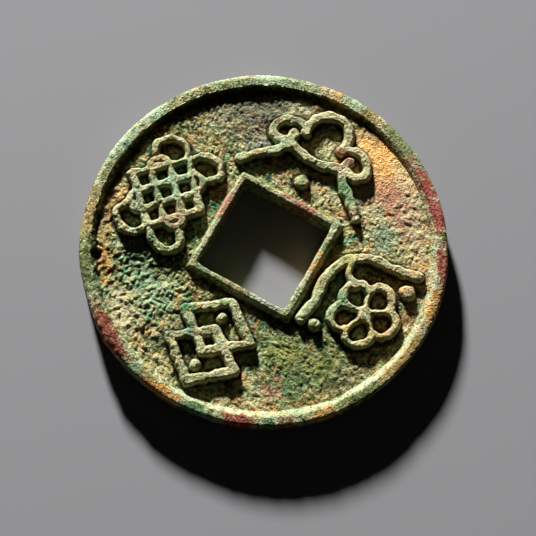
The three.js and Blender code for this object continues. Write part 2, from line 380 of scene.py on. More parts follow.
def patina(
    name, tones, green_tones, patches,
    face=CREST, pale=0.0, green=0.5, flecked=1.0, slope_painted_light=0.0, foot_shade=0.0,
):
    """A crusted bronze. Three noises, the crust and the height give a level that runs through a ramp
    from the pits to the crests. There are two ramps, earthy and green, and noises of the hue take
    one or the other. Each region shifts both by exp(-(distance / radius)^2). A slope carries
    painted light and shade: by its share of it, the slope is paler towards the coin's lower right,
    which faces the lamp, and darker towards its upper left, which lies in shade. Flecks of other
    minerals lie on this, patches with broken edges at the face's height, pale dust and dark pores,
    and last the piece's painted shade, with more painted shade at the foot of what is raised."""
    material = bpy.data.materials.new(name)
    material.use_nodes = True
    tree = material.node_tree
    start = Socket(tree, None)
    place = start.node("TexCoord", output=3)
    place = place.vector("SCALE", {0: place, 3: 1 / MM})
    crust_here, height, soil = (
        start.node("Attribute", {"attribute_name": label}, output=2)
        for label in ("crust", "height", "soil")
    )
    coarse, medium, fine, dust = (place.noise(*shape) for shape in (COARSE, MEDIUM, FINE, DUST))

    # Painted shade: the piece's own, and more at the foot of what is raised, where its shadows fall
    soil = soil + foot_shade * height.step(*FOOT_SHADE_HEIGHTS)
    slope_here = height.step(*SLOPE)
    lean = place.vector("DOT_PRODUCT", {0: place, 1: LEAN}, output=1)
    level = LEVEL_COARSE * coarse + LEVEL_MEDIUM * medium + LEVEL_FINE * fine + (0.5 - LEVEL_MEAN)
    level = level + LEVEL_CRUST * crust_here + LEVEL_HEIGHT * height
    # A slope gets painted light towards the lower right and painted shade towards the upper left, and
    # painted shade darkens the level
    level = level + slope_painted_light * slope_here * (lean - SLOPE_LIGHT_LEAN) + pale - LEVEL_PAINTED_SHADE * soil
    greener = 0.0
    for (x, y), radius, more_green, paler in REGIONS:
        reach = place.vector("DISTANCE", {0: place, 1: (x, y, REGION_HEIGHT)}, output=1)
        near = start.maths("EXPONENT", -1.0 * start.maths("POWER", reach * (1 / radius), 2.0))
        level = level + paler * near
        greener = more_green * near + greener
    apart = place.node("Mapping", {}, {0: place, 1: APART})
    hue = SHARE_COARSE * apart.noise(*HUE_COARSE) + SHARE_MEDIUM * apart.noise(*HUE_MEDIUM)
    hue = hue + SHARE_FINE * apart.noise(*HUE_FINE) + greener + (green - HUE_MEAN)

    earthy = level.node("ValToRGB", {"stops": tones}, {0: level})
    greens = level.node("ValToRGB", {"stops": green_tones}, {0: level})
    colour = earthy.mix(hue.step(*GREEN), greens)
    shade = level.step(*SHADE)
    colour = with_flecks(colour, place, hue, shade, flecked)
    broken = PATCH_MEDIUM * (medium - 0.5) + PATCH_FINE * (fine - 0.5)
    # patches give way on a slope that carries painted light and shade
    broken = broken + PATCH_SLOPE * slope_painted_light * slope_here
    colour = with_patches(colour, place, patches, face, broken, shade)
    # Painted shade comes last: the colour goes towards a dark brown where shade is painted
    painted_shade_mask = soil + PAINTED_SHADE_GRAIN * (fine - 0.5)
    covers = ((dust, PALE_DUST, CREAM), (dust, DARK_PORES, PIT), (painted_shade_mask, PAINTED_SHADE_COVER, PAINTED_SHADOW_BROWN))
    for cover, (edge, share), tint in covers:
        colour = colour.mix(cover.step(*edge) * share, tint)

    bumps = BUMP_MEDIUM * medium + BUMP_FINE * fine + BUMP_DUST * dust
    bumps = bumps.node("Bump", {}, {**BUMP, "Height": bumps})
    shader = tree.nodes["Principled BSDF"]
    shader.inputs["Specular IOR Level"].default_value = SPECULAR
    links = {"Base Color": colour, "Roughness": level.step(*SHEEN), "Normal": bumps}
    for key, value in links.items():
        tree.links.new(value.out, shader.inputs[key])
    return material


# Ramps of a finish, as level and colour
FIELD_TONES = (
    (0.22, PIT),
    (0.34, UMBER),
    (0.46, (0.257, 0.191, 0.058)),
    (0.58, (0.481, 0.39, 0.141)),
    (0.78, (0.681, 0.598, 0.307)),
)
FIELD_GREENS = (
    (0.22, (0.008, 0.013, 0.006)),
    (0.36, (0.046, 0.066, 0.02)),
    (0.48, (0.149, 0.178, 0.05)),
    (0.62, (0.357, 0.39, 0.141)),
    (0.82, (0.581, 0.589, 0.299)),
)
# Patches of a finish, as centre, reach along and out from the coin's middle, colour and strength
FIELD_PATCHES = (
    ((-9.0, 15.4), (6.5, 4.6), (0.141, 0.145, 0.091), 0.85),
    ((-6.4, 11.4), (2.6, 1.8), SILVER, 0.6),
    ((-4.6, 17.9), (2.4, 1.6), CREAM, 0.8),
    ((7.6, 17.4), (5.0, 3.2), (0.82, 0.43, 0.12), 0.95),
    ((11.6, 16.4), (3.2, 1.6), CREAM, 0.6),
    ((10.5, 13.6), (2.6, 2.2), PINK, 0.75),
    ((13.9, 11.9), (3.2, 1.7), PINK, 0.8),
    ((12.6, 8.2), (2.2, 1.8), TEAL, 0.6),
    ((15.6, 10.6), (5.0, 1.1), CREAM, 0.6),
    ((-19.4, -4.5), (3.4, 1.4), SAND, 0.55),
    ((-16.3, -11.6), (4.2, 1.1), ORANGE, 0.75),
    ((-14.2, -8.6), (4.0, 2.6), TEAL, 0.35),
    ((-10.2, -11.6), (3.4, 2.6), MINT, 0.5),
    ((-11.5, -16.3), (3.0, 1.6), CREAM, 0.8),
    ((-5.3, -15.6), (2.6, 3.0), SAGE, 0.5),
    ((11.6, -11.0), (5.6, 4.2), MOSS, 0.65),
    ((8.4, -10.6), (2.6, 2.2), LIME, 0.5),
    ((13.4, -9.6), (2.2, 1.6), LIME, 0.5),
    ((16.8, -10.4), (3.6, 1.7), OLIVE, 0.6),
    ((9.5, -15.8), (1.7, 1.3), PINK, 0.6),
    ((14.4, -14.6), (3.4, 1.1), OCHRE, 0.7),
    ((12.6, -13.6), (1.8, 1.6), EMERALD, 0.35),
)
FIELD_STEPS = (900, 104, 3)  # round the coin, across the face and down to the plate's middle
points = plate_face(OBVERSE, *FIELD_STEPS)
plate = ring_piece("plate_obverse", points, np.zeros(points.shape[:2]), "field_patina", "field")
plate.data.materials.append(patina("field crust", FIELD_TONES, FIELD_GREENS, FIELD_PATCHES))

# Plate of the coin, reverse face
# The back of the same bronze casting, bare between the rims, with the same crust. It meets the
# obverse's half inside the metal.

REVERSE_STEPS = (720, 72, 3)
points = plate_face(REVERSE, *REVERSE_STEPS)
back = ring_piece("plate_reverse", points, np.zeros(points.shape[:2]), "field_patina", "field")
REVERSE_PATCHES = (
    ((-8.0, 12.0), (5.0, 4.0), MOSS, 0.6),
    ((12.0, 10.0), (4.0, 3.5), TEAL, 0.5),
    ((10.0, -13.0), (4.5, 3.0), SILVER, 0.5),
    ((-13.0, -9.0), (4.5, 3.0), OCHRE, 0.6),
    ((0.0, -16.0), (3.5, 2.4), CUPRITE, 0.5),
    ((-17.0, 4.0), (3.5, 2.0), ORANGE, 0.5),
)
reverse_crust = patina("reverse crust", FIELD_TONES, FIELD_GREENS, REVERSE_PATCHES, face=0.0)
back.data.materials.append(reverse_crust)

# Round rim and the coin's edge
# The raised border of the bronze casting, filed round by hand. It bears on the table and wears down
# first. Mint and cream crust lies on it above, red copper oxide and ochre to the right and below.

RIM_FOOT = PLATE_RADIUS - 0.1
RIM_SLOPE = 0.9  # width of the rounded slope inside the crest
WIDER, NARROWER = 0.2, 0.3  # by how much the slope is wider at the lower right, narrower opposite
EDGE_ROUND, UNDER_ROUND = 0.95, 0.6  # radii of the edge's upper and lower corners
SQUARER_POWER = 4  # power of the superellipse that the upper corner comes near at the lower right
RIM_DIVE = (0.3, 0.6, 0.4)  # how far the feet run on into the plate: inwards, down and up
RIM_STEPS = 1000  # round the coin


def section(*stretches):
    """Reaches and heights of a rim's outline from stretches, each a pair of arrays."""
    reaches, heights = zip(*stretches)
    return np.concatenate(reaches), np.concatenate(heights)


def slope(foot, foot_height, width, rise, steps):
    """A bank from a foot up to a crest that it meets smoothly: foot + rise (1 - (1 - t)^1.4)."""
    share = np.linspace(0, 1, steps, endpoint=False)
    return foot + width * share, foot_height + rise * (1 - (1 - share) ** 1.4)


def corner(reach, height, radius, from_degrees, to_degrees, steps):
    """An arc about a centre, from one angle to another."""
    angles = np.radians(np.linspace(from_degrees, to_degrees, steps))
    return reach + radius * np.cos(angles), height + radius * np.sin(angles)


def straight(start, end, steps):
    """Points on a line without its ends."""
    share = np.linspace(0, 1, steps + 2)[1:-1]
    return start[0] + (end[0] - start[0]) * share, start[1] + (end[1] - start[1]) * share


def carried(path, outward, reaches, heights, lift):
    """A section carried round a path of reach 1, with reaches that may differ along it. Each point
    moves out by lift along the section's own normal, turned to face away from the path."""
    grid = (len(path), len(heights))
    reaches = np.broadcast_to(reaches, grid)
    run = np.roll(reaches, -1, axis=1) - np.roll(reaches, 1, axis=1)
    climb = np.broadcast_to(np.roll(heights, -1) - np.roll(heights, 1), grid)
    length = np.hypot(run, climb)
    level = np.broadcast_to(heights, grid)[..., None]
    points = np.concatenate([path[:, None] * reaches[..., None], level], -1)
    sideways = outward[:, None] * (-climb / length)[..., None]
    normals = np.concatenate([sideways, (run / length)[..., None]], -1)
    points = points + normals * lift(points)[..., None]
    points[..., 2] = np.maximum(points[..., 2], 0)  # the table is there
    return points


def raised(points):
    """How far each point stands up from the obverse face to the crest, from 0 to 1."""
    return np.clip((points[..., 2] - OBVERSE) / (CREST - OBVERSE), 0, 1)


angles = np.arange(RIM_STEPS) / RIM_STEPS * 2 * math.pi
circle = np.stack([np.cos(angles), np.sin(angles)], -1)
inwards, down, up = RIM_DIVE
reaches, heights = section(
    straight((RIM_FOOT - inwards, OBVERSE - down), (RIM_FOOT, OBVERSE), 5),
    slope(RIM_FOOT, OBVERSE, RIM_SLOPE, CREST - OBVERSE, 20),
    straight((RIM_FOOT + RIM_SLOPE, CREST), (COIN_RADIUS - EDGE_ROUND, CREST), 4),
    corner(COIN_RADIUS - EDGE_ROUND, CREST - EDGE_ROUND, EDGE_ROUND, 90, 0, 14),
    straight((COIN_RADIUS, CREST - EDGE_ROUND), (COIN_RADIUS, UNDER_ROUND), 12),
    corner(COIN_RADIUS - UNDER_ROUND, UNDER_ROUND, UNDER_ROUND, 0, -90, 9),
    straight((COIN_RADIUS - UNDER_ROUND, 0), (RIM_FOOT + RIM_SLOPE, 0), 6),
    [part[::-1] for part in slope(RIM_FOOT, REVERSE, RIM_SLOPE, -REVERSE, 12)],
    straight((RIM_FOOT, REVERSE), (RIM_FOOT - inwards, REVERSE + up), 3),
)

# The outline changes round the coin with the lean. The crest's inner edge moves by WIDER or NARROWER
# times the lean. Towards the lower right the upper corner comes near a superellipse: it gains up to
# (1 - t^4)^(1/4) - (1 - t^2)^(1/2) of its radius, with t the share of the corner's height.
lean = (circle @ LEAN[:2] * COIN_RADIUS)[:, None]
inside = np.interp(reaches, (RIM_FOOT, RIM_FOOT + RIM_SLOPE, COIN_RADIUS - EDGE_ROUND), (0, 1, 0))
rounding = np.clip((heights - CREST) / EDGE_ROUND + 1, 0, 1)
squarer = (1 - rounding**SQUARER_POWER) ** (1 / SQUARER_POWER) - (1 - rounding**2) ** 0.5
squarer = squarer * (reaches > COIN_RADIUS - EDGE_ROUND) * EDGE_ROUND
leaning = np.where(lean < 0, NARROWER, WIDER) * lean
reaches = reaches + leaning * inside * (heights > PLATE_MIDDLE) + 0.5 * (1 + lean) * squarer

RIM_CRUST, RIM_SUNK = 0.4, 0.12  # share of the crust on the rim, and how far it is sunk in the metal
RIM_WANDER = ((0.10, 7.0, 1.7), (0.05, 2.6, 8.8), (0.03, 0.3, 4.1))
LUMP = ((-11.4, -19.8), 3.1)  # the brown-red lump at the lower left, as centre and radius
LUMP_HEIGHT, LUMP_NOISE = 0.22, (0.16, 0.8, 2.2)


def rim_crust(points):
    """The crust, quieter on the worn crest, a slow wander of the hand-filed edge, and the lump."""
    wander = sum(layer(points, *noise) for noise in RIM_WANDER)
    lump = nearness(points, *LUMP) * (LUMP_HEIGHT + layer(points, *LUMP_NOISE))
    return RIM_CRUST * crust(points) + wander + lump - RIM_SUNK


# The crest is worn down by WORN_SIDE where the lean is past -WORN_LEAN, at the upper left, and by
# depth exp(-(a / width)^2) at an angle a from the dip's own
WORN_SIDE, WORN_LEAN = 0.16, 0.6
DIP_ANGLE, DIP_WIDTH, DIP_DEPTH = math.radians(76), math.radians(30), 0.24
points = carried(circle, circle, reaches, heights, rim_crust)
outside = np.linalg.norm(points[..., :2], axis=-1) > RIM_FOOT + RIM_SLOPE
height = np.where(outside, 1, raised(points))
dip = np.exp(-(((angles[:, None] - DIP_ANGLE) / DIP_WIDTH) ** 2))
worn = WORN_SIDE * smooth_step(-lean, 0.0, WORN_LEAN) + DIP_DEPTH * dip
points[..., 2] -= worn * np.maximum((points[..., 2] - OBVERSE) / (CREST - OBVERSE), 0)
rim = ring_piece("round_rim", points, height, "outer_rim_patina", "outer_rim")

# Painted shade darkens the outer edge all round, more with the drop below the crest, and the corner
# of the rim's foot at the upper left, the side away from the lamp, more with the lean
EDGE_SHADE, EDGE_DROP = 0.7, (0.3, 1.8)
CORNER_SHADE, CORNER_LEAN = 0.8, (0.15, 0.55)
soil = CORNER_SHADE * (1 - height) * (points[..., 2] > PLATE_MIDDLE) * smooth_step(-lean, *CORNER_LEAN)
soil = EDGE_SHADE * outside * smooth_step(CREST - points[..., 2], *EDGE_DROP) + soil
mark_points(rim.data, "soil", soil)
RIM_TONES = (
    (0.22, PIT),
    (0.36, UMBER),
    (0.50, (0.207, 0.166, 0.05)),
    (0.64, (0.382, 0.332, 0.124)),
    (0.84, (0.606, 0.564, 0.365)),
)
RIM_GREENS = (
    (0.20, (0.01, 0.015, 0.007)),
    (0.35, (0.042, 0.058, 0.02)),
    (0.48, (0.108, 0.137, 0.037)),
    (0.62, (0.282, 0.315, 0.108)),
    (0.80, (0.531, 0.556, 0.34)),
)
RIM_PATCHES = (
    ((-22.2, 3.0), (3.2, 1.6), MINT, 0.8),
    ((-20.3, 8.3), (2.0, 1.4), MINT, 0.8),
    ((-9.4, 19.8), (2.4, 1.5), MINT, 0.7),
    ((-1.8, 21.8), (1.3, 1.5), ORANGE, 0.6),
    ((0.6, 21.9), (1.0, 1.5), MINT, 0.7),
    ((3.9, 21.9), (1.8, 1.5), OCHRE, 0.6),
    ((6.9, 21.2), (1.6, 1.5), MOSS, 0.8),
    ((9.2, 19.9), (2.2, 1.4), MOSS, 0.8),
    ((12.2, 19.2), (3.4, 0.8), EMERALD, 0.7),
    ((11.2, 17.9), (1.6, 1.4), CUPRITE, 0.9),
    ((13.8, 16.2), (2.9, 1.9), CUPRITE, 1.0),
    ((16.8, 13.9), (2.9, 2.2), (0.3, 0.075, 0.05), 1.0),
    ((19.2, 11.8), (0.9, 1.3), MOSS, 0.9),
    ((20.9, 8.8), (2.6, 1.6), CUPRITE, 0.95),
    ((22.2, 5.2), (1.3, 1.3), BROWN_RED, 0.6),
    ((22.3, 3.2), (2.4, 1.8), ORANGE, 0.7),
    ((22.0, -4.0), (4.2, 1.7), OCHRE, 0.8),
    ((19.6, -10.9), (2.6, 1.7), MOSS, 0.7),
    ((16.9, -15.2), (2.0, 1.6), ORANGE, 0.6),
    ((13.0, -18.9), (1.5, 1.4), BROWN_RED, 0.7),
    ((11.3, -20.2), (1.6, 1.4), EMERALD, 0.8),
    ((8.2, -21.6), (2.2, 1.5), CUPRITE, 1.0),
    ((2.4, -22.6), (1.8, 1.2), EMERALD, 0.8),
    ((-2.0, -22.6), (2.8, 1.2), ORANGE, 0.9),
    ((-6.4, -21.8), (1.6, 1.5), EMERALD, 0.5),
    ((-11.4, -19.8), (4.4, 2.5), BROWN_RED, 1.0),
    ((-18.2, -13.4), (3.4, 1.8), MOSS, 0.8),
    ((-21.0, -8.0), (3.0, 1.6), OCHRE, 0.6),
)
# the inner slope carries painted light towards the lower right and painted shade towards the upper
# left
RIM_LOOK = {"pale": -0.03, "green": 0.56, "flecked": 0.4, "slope_painted_light": 0.21}
rim.data.materials.append(patina("rim crust", RIM_TONES, RIM_GREENS, RIM_PATCHES, **RIM_LOOK))

# Square rim round the hole
# A narrow raised border on both faces of the bronze casting that joins through the hole as its four
# walls, which a file once squared. Pink and red oxide shows on its left and upper sides.

HOLE_REACH = frame["record"]["mounts"][2]["pos_m"][0] / MM
SQUARE_ROUND = 0.42  # radius of the walls' upper and lower corners
SQUARE_SLOPE = 0.62  # width of the slope outside the crest
SQUARE_SEAT = SQUARE_FOOT + 0.05  # where the slope meets the obverse face
SQUARE_DIVE = (0.15, 0.5, 0.4)  # how far the feet run on into the plate: outwards, down and up
SQUARE_STEPS = 720  # round the hole
angles = np.arange(SQUARE_STEPS) / SQUARE_STEPS * 2 * math.pi
square = square_path(angles)
outward = np.sign(square) * np.abs(square) ** (SQUARE_POWER - 1)
outward /= np.linalg.norm(outward, axis=-1, keepdims=True)
outwards, down, up = SQUARE_DIVE
reaches, heights = section(
    corner(HOLE_REACH + SQUARE_ROUND, CREST - SQUARE_ROUND, SQUARE_ROUND, 180, 90, 8),
    straight((HOLE_REACH + SQUARE_ROUND, CREST), (SQUARE_SEAT - SQUARE_SLOPE, CREST), 3),
    [part[::-1] for part in slope(SQUARE_SEAT, OBVERSE, -SQUARE_SLOPE, CREST - OBVERSE, 14)],
    straight((SQUARE_SEAT, OBVERSE), (SQUARE_FOOT + outwards, OBVERSE - down), 3),
    straight((SQUARE_FOOT + outwards, REVERSE + up), (SQUARE_FOOT, REVERSE), 3),
    slope(SQUARE_FOOT, REVERSE, -SQUARE_SLOPE, -REVERSE, 10),
    straight((SQUARE_FOOT - SQUARE_SLOPE, 0), (HOLE_REACH + SQUARE_ROUND, 0), 3),
    corner(HOLE_REACH + SQUARE_ROUND, SQUARE_ROUND, SQUARE_ROUND, -90, -180, 7),
    straight((HOLE_REACH, SQUARE_ROUND), (HOLE_REACH, CREST - SQUARE_ROUND), 18),
)

SQUARE_CRUST, SQUARE_SUNK = 0.45, 0.08  # its share and depth, as on the round rim
SQUARE_WANDER = (0.07, 3.3, 6.1)


def square_rim_crust(points):
    """The crust and a slow wander of the filed walls."""
    return SQUARE_CRUST * crust(points) + layer(points, *SQUARE_WANDER) - SQUARE_SUNK


points = carried(square, outward, reaches, heights, square_rim_crust)
hole_rim = ring_piece("square_rim", points, raised(points), "inner_rim_patina", "inner_rim")
SQUARE_PATCHES = (
    ((-6.9, 2.4), (3.0, 1.4), PINK, 0.75),
    ((1.2, 6.9), (2.6, 1.4), CUPRITE, 0.7),
    ((6.9, 0.8), (1.8, 1.4), ORANGE, 0.6),
    ((-3.8, -6.9), (2.2, 1.4), EMERALD, 0.45),
    ((3.0, -6.9), (3.0, 1.4), SILVER, 0.6),
)
# the foot setting paints shade on the square rim's lower slopes and foot
SQUARE_LOOK = {"pale": 0.04, "green": 0.54, "flecked": 0.5, "foot_shade": 0.4}
hole_finish = patina("hole rim crust", RIM_TONES, RIM_GREENS, SQUARE_PATCHES, **SQUARE_LOOK)
hole_rim.data.materials.append(hole_finish)

# Cloud ornament above the hole
# Raised in the casting with the plate: a cloud's crown between two scrolls, over two tails that run
# down past the hole's corners, and a pearl between them. Its ridges are round-backed and worn.

STROKE, FINE_STROKE, PETAL_LINE = 1.15, 0.9, 0.6  # widths of an ornament's strokes
RIM_GAP = 0.35  # between an ornament and either rim
ROWS = 12  # rows of a sketch, from the square rim to the round one
SKETCH_FOOT = SQUARE_FOOT + RIM_GAP + STROKE / 2
SKETCH_TOP = PLATE_RADIUS - RIM_GAP - STROKE / 2
STEPS_ROUND = 48  # points on a full turn of a spiral
RELIEF = 1.0  # height of the ridges over the plate
RELIEF_STEP = 0.075  # spacing of a relief's grid
RELIEF_MARGIN = 1.6  # how far that grid reaches past the strokes' middle lines
RIDGE_REACH, BEAD_REACH = 0.55, 1.0  # from the foot to the full height, on strokes and on beads
RIDGE_FOOT = 0.20  # how far a ridge's foot stands outside its stroke
RELIEF_SKIRT, SKIRT_SLOPE = 0.40, 1.4  # where a relief ends outside its stroke, and its fall there
RELIEF_BASE = OBVERSE - 0.75  # inside the plate
BLEND = 0.09  # how far round the corners are where strokes meet
FAR = 1e9  # past anything on the coin
# How the edges of strokes wander and how the ridges' height changes, as layers of noise
RELIEF_WANDER = ((0.10, 2.1, 1.1), (0.15, 0.9, 4.4), (0.07, 0.42, 6.6))
RELIEF_WEAR = ((0.12, 1.9, 2.9), (0.06, 0.7, 8.1))
RUBBED = (0.5, 0.4)  # share of the crust that is rubbed off, and the height where it is


def on_field(columns, rows):
    """Sketch columns and rows in millimetres on the plate: a row's height runs from the square rim
    to the round rim's circle over that column."""
    top = np.sqrt(SKETCH_TOP**2 - columns**2)
    return np.stack([columns, SKETCH_FOOT + (top - SKETCH_FOOT) * rows / ROWS], -1)


def spiral(centre, from_radius, to_radius, from_degrees, to_degrees):
    """A curve about a sketch point whose radius changes evenly as it turns."""
    steps = max(2, round(abs(to_degrees - from_degrees) / 360 * STEPS_ROUND)) + 1
    angles = np.radians(np.linspace(from_degrees, to_degrees, steps))
    radii = np.linspace(from_radius, to_radius, steps)
    return np.stack([centre[0] + radii * np.cos(angles), centre[1] + radii * np.sin(angles)], -1)


def arc(centre, radius, from_degrees, to_degrees):
    """A spiral whose radius stays the same."""
    return spiral(centre, radius, radius, from_degrees, to_degrees)


def sweep(*points):
    """A Catmull-Rom curve through a few sketch points: between b and c, with their neighbours a and
    d, half of 2b + (c - a) t + (2a - 5b + 4c - d) t^2 + (3b - a - 3c + d) t^3."""
    knots = np.array([points[0], *points, points[-1]], float)
    share = np.linspace(0, len(points) - 1, 10 * (len(points) - 1) + 1)
    first = np.minimum(share.astype(int), len(points) - 2)
    t = (share - first)[:, None]
    a, b, c, d = (knots[first + place] for place in range(4))
    square, cube = 2 * a - 5 * b + 4 * c - d, 3 * b - a - 3 * c + d
    return 0.5 * (2 * b + (c - a) * t + square * t**2 + cube * t**3)


def both_sides(stroke):
    """A stroke and its mirror image across the ornament's middle line."""
    return [stroke, stroke * (-1, 1)]


def distance_to(strokes, spots, x, y):
    """Distance from each point to the edge of the nearest stroke or spot, less than 0 inside. Shapes
    that meet are blended by -k log(sum exp(-d / k)), which rounds the corners between them."""
    total = np.full(x.shape, -FAR)
    for line, width in strokes:
        line = on_field(line[:, 0], line[:, 1])
        nearest = np.full(x.shape, FAR)
        for (ax, ay), (bx, by) in zip(line[:-1], line[1:]):
            run, climb = bx - ax, by - ay
            share = np.clip(((x - ax) * run + (y - ay) * climb) / (run**2 + climb**2), 0, 1)
            nearest = np.minimum(nearest, np.hypot(x - ax - share * run, y - ay - share * climb))
        total = np.logaddexp(total, -(nearest - width / 2) / BLEND)
    for (column, row), radius in spots:
        centre = on_field(np.array(column), np.array(row))
        total = np.logaddexp(total, -(np.hypot(x - centre[0], y - centre[1]) - radius) / BLEND)
    return -BLEND * total


def ridge_height(distance, reach):
    """Height of a round-backed ridge over the plate: rise (1 - (1 - t)^3), with t the share of the
    reach that lies inside its foot, and outside the foot a steep skirt that dives into the plate."""
    share = np.clip((RIDGE_FOOT - distance) / reach, 0, 1)
    return RELIEF * (1 - (1 - share) ** 3) - SKIRT_SLOPE * np.maximum(distance - RIDGE_FOOT, 0)


def filled_corners(keep):
    """Cells that only touch at a corner get their two neighbours, so that no wall meets itself."""
    while True:
        a, b, c, d = keep[:-1, :-1], keep[1:, :-1], keep[:-1, 1:], keep[1:, 1:]
        touch = (a & d & ~b & ~c) | (b & c & ~a & ~d)
        if not touch.any():
            return keep
        keep = keep.copy()
        for i, j in np.argwhere(touch):
            keep[i : i + 2, j : j + 2] = True


RELIEF_TONES = (
    (0.20, PIT),
    (0.34, UMBER),
    (0.47, (0.207, 0.166, 0.058)),
    (0.62, (0.398, 0.357, 0.141)),
    (0.82, (0.647, 0.589, 0.315)),
)
RELIEF_GREENS = (
    (0.20, (0.008, 0.013, 0.007)),
    (0.34, (0.042, 0.062, 0.028)),
    (0.47, (0.124, 0.166, 0.058)),
    (0.62, (0.299, 0.357, 0.141)),
    (0.82, (0.548, 0.589, 0.307)),
)
RELIEF_PATCHES = (
    ((2.9, 15.2), (1.5, 0.9), CUPRITE, 0.7),
    ((4.8, 11.2), (2.2, 1.3), EMERALD, 0.75),
    ((-2.6, 17.6), (2.0, 1.4), CREAM, 0.6),
    ((9.4, 3.6), (2.4, 1.2), LIME, 0.45),
    ((12.2, -6.4), (1.8, 1.0), MOSS, 0.7),
    ((-16.4, -1.6), (1.8, 1.2), TEAL, 0.5),
    ((-10.6, 6.2), (1.8, 1.2), CREAM, 0.6),
    ((-5.0, 12.6), (1.6, 1.3), MINT, 0.6),
    ((-13.5, 2.2), (2.6, 2.0), MINT, 0.6),
    ((-11.0, -2.6), (1.8, 1.5), PINK, 0.3),
    ((-17.0, 3.6), (2.2, 1.2), OCHRE, 0.5),
    ((-4.6, -11.3), (1.2, 1.0), EMERALD, 0.9),
    ((-3.6, -14.0), (1.6, 1.4), TEAL, 0.5),
    ((1.5, -18.0), (2.0, 1.2), SAGE, 0.5),
    ((11.5, -2.0), (1.8, 1.4), EMERALD, 0.4),
    ((17.0, -3.6), (2.0, 1.4), OCHRE, 0.5),
    ((13.5, -4.6), (1.4, 1.0), ORANGE, 0.45),
)
# the foot setting paints shade on the ridges' lower walls and round their foot
RELIEF_LOOK = {"pale": 0.10, "green": 0.50, "flecked": 0.65, "foot_shade": 0.85}
relief_crust = patina("relief crust", RELIEF_TONES, RELIEF_GREENS, RELIEF_PATCHES, **RELIEF_LOOK)
sketches = []  # how far every ornament is turned, and its strokes and spots


def relief_piece(name, node, degrees, strokes, spots=()):
    """A closed solid over a square grid, turned about the coin's middle: its top is the crust plus
    the ridge's height, its walls go down inside the plate, and its base lies there flat."""
    sketches.append((degrees, strokes, spots))
    lines = [on_field(line[:, 0], line[:, 1]) for line, width in strokes]
    lines += [on_field(np.array([column]), np.array([row])) for (column, row), radius in spots]
    corners = np.concatenate(lines)
    low, high = corners.min(axis=0) - RELIEF_MARGIN, corners.max(axis=0) + RELIEF_MARGIN
    x, y = np.meshgrid(*(np.arange(low[k], high[k], RELIEF_STEP) for k in (0, 1)), indexing="ij")
    turn = math.radians(degrees)
    turned = [x * math.cos(turn) - y * math.sin(turn), x * math.sin(turn) + y * math.cos(turn)]
    flat = np.stack([*turned, np.full(x.shape, OBVERSE)], -1)
    ragged = sum(layer(flat, *noise) for noise in RELIEF_WANDER)
    distance = distance_to(strokes, spots, x, y) + ragged
    rise = ridge_height(distance, RIDGE_REACH if strokes else BEAD_REACH)
    worn = 1 + layer(flat, *RELIEF_WEAR[0]) + layer(flat, *RELIEF_WEAR[1])
    share, rubbed_height = RUBBED
    left = 1 - share * smooth_step(rise, 0, rubbed_height)
    flat[..., 2] += crust(flat) * left + np.where(rise > 0, rise * worn, rise)
    inside = distance < RELIEF_SKIRT
    keep = filled_corners(inside[:-1, :-1] & inside[1:, :-1] & inside[:-1, 1:] & inside[1:, 1:])
    index = np.arange(x.size).reshape(x.shape)
    a, b, c, d = index[:-1, :-1], index[1:, :-1], index[1:, 1:], index[:-1, 1:]
    top = np.stack([a[keep], b[keep], c[keep], d[keep]], -1)
    base = top[:, ::-1] + x.size
    walls = []
    framed = np.pad(keep, 1)
    for (di, dj), start, end in ((0, -1), a, b), ((1, 0), b, c), ((0, 1), c, d), ((-1, 0), d, a):
        beside = framed[1 + di : framed.shape[0] - 1 + di, 1 + dj : framed.shape[1] - 1 + dj]
        edge = keep & ~beside
        start, end = start[edge], end[edge]
        walls.append(np.stack([end, start, start + x.size, end + x.size], -1))
    faces = np.concatenate([top, base, *walls])
    below = flat.copy()
    below[..., 2] = RELIEF_BASE
    points = np.concatenate([flat.reshape(-1, 3), below.reshape(-1, 3)])
    height = np.concatenate([np.clip(rise / RELIEF, -1, 1).ravel(), np.zeros(x.size)])
    used, faces = np.unique(faces, return_inverse=True)
    piece = new_piece(name, points[used], faces.reshape(-1, 4), height[used], "relief_patina", node)
    piece.data.materials.append(relief_crust)


crown = arc((0, 8.75), 2.75, 200, -20)
neck = sweep((-3.6, 5.5), (0, 4.5), (3.6, 5.5))
scrolls = both_sides(spiral((4.8, 6.75), 2.45, 0.85, 158, -205))
tails = both_sides(sweep((3.6, 5.5), (4.9, 3.7), (6.5, 2.3), (8.2, 0.3)))
cloud = [(line, STROKE) for line in (crown, neck, *scrolls, *tails)]
relief_piece("cloud", "cloud_relief", 0, cloud)
relief_piece("cloud_bead", "cloud_pearl", 0, (), (((0, 1.3), 0.9),))

# Endless knot ornament, left of the hole
# Raised in the casting too, with thinner ridges: a slanted lattice of four cords each way, with a
# loop at each side and a ribbon at each corner.

MIDDLE_ROW = ROWS / 2
HALF_PITCH = 1.2  # half the distance from cord to cord
KNOT_REACH = 3 * HALF_PITCH


def slanted(stroke):
    """Along and across the slanted cords, turned 45 degrees into sketch columns and rows."""
    along, across = stroke[:, 0], stroke[:, 1]
    return np.stack([along - across, along + across], -1) * math.sqrt(0.5) + (0, MIDDLE_ROW)


rows = [k * HALF_PITCH for k in (-3, -1, 1, 3)]
cords = [np.array([(-KNOT_REACH, row), (KNOT_REACH, row)]) for row in rows]
loops = [arc((KNOT_REACH, 0), HALF_PITCH, -90, 90), arc((-KNOT_REACH, 0), HALF_PITCH, 90, 270)]
lattice = [slanted(turned) for line in cords + loops for turned in (line, line[:, ::-1])]
RIBBON = ((5, 0), (6.5, 1.6), (6.6, 3.8), (5.2, 5), (3.9, 4.2))
ribbons = []
for side in (1, -1):
    ribbons += both_sides(sweep(*((column, MIDDLE_ROW + side * rise) for column, rise in RIBBON)))
knot = [(line, FINE_STROKE) for line in lattice + ribbons]
relief_piece("endless_knot", "knot_relief", 90, knot)

# Double lozenge ornament, below the hole
# Raised in the casting too: two linked lozenges with straight ridges, and a round pearl in the free
# half of each.

